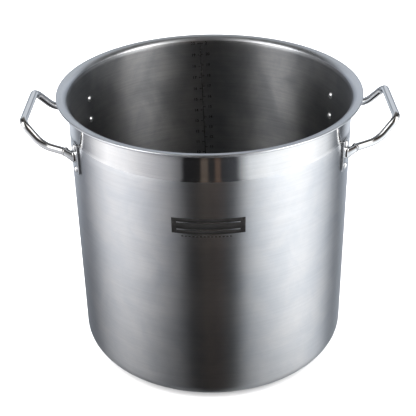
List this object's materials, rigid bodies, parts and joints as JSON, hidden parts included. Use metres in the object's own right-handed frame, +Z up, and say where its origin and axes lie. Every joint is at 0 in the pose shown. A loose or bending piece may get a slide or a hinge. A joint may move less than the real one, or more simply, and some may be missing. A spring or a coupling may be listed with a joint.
{
  "type": "stock pot",
  "caption": "Tall straight-sided stainless stock pot with a flared pouring rim, layered base and riveted loop handles.",
  "frame": {"origin": "centre of the underside, on the surface that the pot stands on", "axes": "+Z up along the pot's axis, X through the two handles, -Y is the front"},
  "size_m": [0.3964, 0.3244, 0.306],
  "materials": {
    "satin_steel": "satin, brushed around the wall, mirror band under the rim",
    "polished_steel": "mirror polished",
    "base_steel": "turned satin",
    "core_aluminium": "plain"
  },
  "bodies": {
    "root": {"pot_shell": "satin_steel", "base_core": "core_aluminium", "base_cap": "base_steel", "right_handle": "polished_steel", "left_handle": "polished_steel", "right_back_bracket": "polished_steel", "right_front_bracket": "polished_steel", "left_back_bracket": "polished_steel", "left_front_bracket": "polished_steel", "right_back_upper_rivet": "polished_steel", "right_back_lower_rivet": "polished_steel", "right_front_upper_rivet": "polished_steel", "right_front_lower_rivet": "polished_steel", "left_front_upper_rivet": "polished_steel", "left_front_lower_rivet": "polished_steel", "left_back_upper_rivet": "polished_steel", "left_back_lower_rivet": "polished_steel"}
  },
  "joints": []
}
